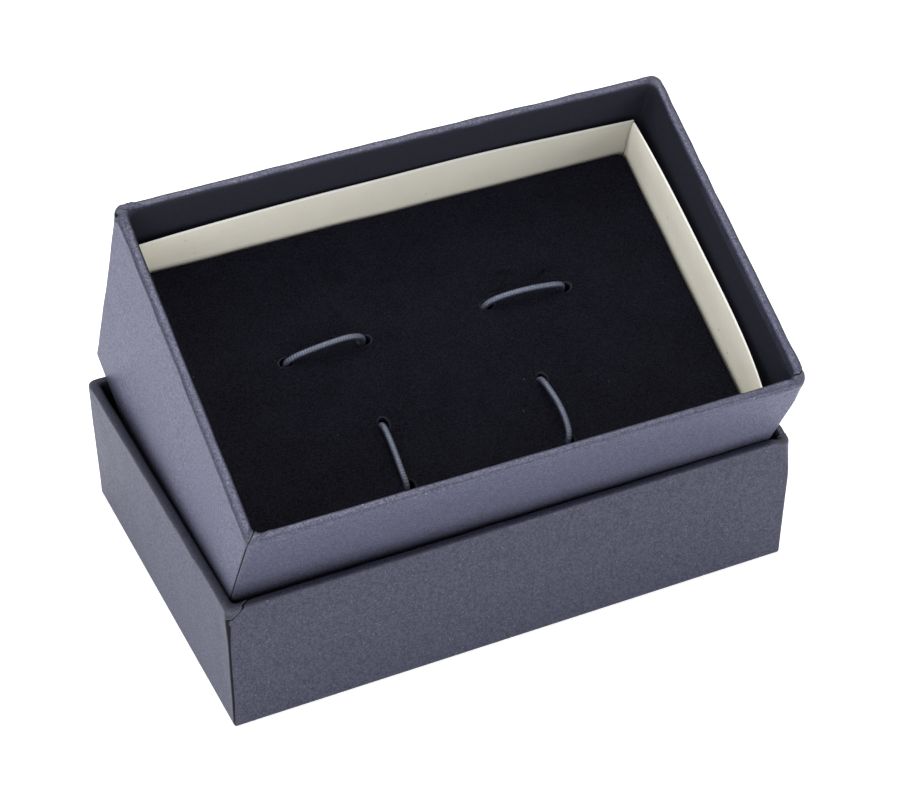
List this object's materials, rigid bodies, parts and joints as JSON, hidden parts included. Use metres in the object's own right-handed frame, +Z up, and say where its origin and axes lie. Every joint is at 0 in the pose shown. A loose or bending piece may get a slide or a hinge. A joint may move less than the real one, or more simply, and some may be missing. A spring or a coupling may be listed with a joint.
{
  "type": "cufflink display box",
  "caption": "Set-up gift box for cufflinks: tray with card liner and flocked pad with elastic loops, propped askew in its upturned lid.",
  "frame": {"origin": "centre of the underside of the upturned lid, on the surface that it lies on", "axes": "+X along the lid's length, +Y from the front to the back, over which the tray is raised, +Z up"},
  "size_m": [0.09, 0.0676, 0.0624],
  "materials": {
    "covering_paper": "matte slate blue paper with a faint pearl",
    "greyboard": "grey board",
    "stay_tape": "gummed kraft tape",
    "lining_paper": "matte navy paper",
    "liner_card": "smooth cream card",
    "platform_card": "plain card",
    "pad_foam": "foam",
    "flocked_cover": "dark navy flock",
    "elastic_cord": "ribbed slate elastic"
  },
  "bodies": {
    "lid": {"lid_board": "greyboard", "lid_corner_stays": "stay_tape", "lid_covering": "covering_paper", "lid_floor_lining": "lining_paper"},
    "tray": {"tray_board": "greyboard", "tray_corner_stays": "stay_tape", "tray_covering": "covering_paper"},
    "liner_ring": {"liner": "liner_card"},
    "insert": {"pad_platform": "platform_card", "pad_core": "pad_foam", "pad_cover": "flocked_cover"},
    "loop_back_left_cord": {"elastic_loop_back_left": "elastic_cord"},
    "loop_back_right_cord": {"elastic_loop_back_right": "elastic_cord"},
    "loop_front_left_cord": {"elastic_loop_front_left": "elastic_cord"},
    "loop_front_right_cord": {"elastic_loop_front_right": "elastic_cord"}
  },
  "joints": [
    {"name": "tray_lift", "type": "slide", "parent": "lid", "child": "tray", "axis": [0, 0, 1], "range_m": [0, 0.06]},
    {"name": "liner_lift", "type": "slide", "parent": "tray", "child": "liner_ring", "axis": [-0.0047, -0.4329, 0.9014], "range_m": [0, 0.045]},
    {"name": "insert_lift", "type": "slide", "parent": "tray", "child": "insert", "axis": [-0.0047, -0.4329, 0.9014], "range_m": [0, 0.045]},
    {"name": "loop_back_left_draw", "type": "slide", "parent": "insert", "child": "loop_back_left_cord", "axis": [-0.0047, -0.4329, 0.9014], "range_m": [0, 0.0014]},
    {"name": "loop_back_right_draw", "type": "slide", "parent": "insert", "child": "loop_back_right_cord", "axis": [-0.0047, -0.4329, 0.9014], "range_m": [0, 0.0014]},
    {"name": "loop_front_left_draw", "type": "slide", "parent": "insert", "child": "loop_front_left_cord", "axis": [-0.0047, -0.4329, 0.9014], "range_m": [0, 0.0014]},
    {"name": "loop_front_right_draw", "type": "slide", "parent": "insert", "child": "loop_front_right_cord", "axis": [-0.0047, -0.4329, 0.9014], "range_m": [0, 0.0014]}
  ]
}
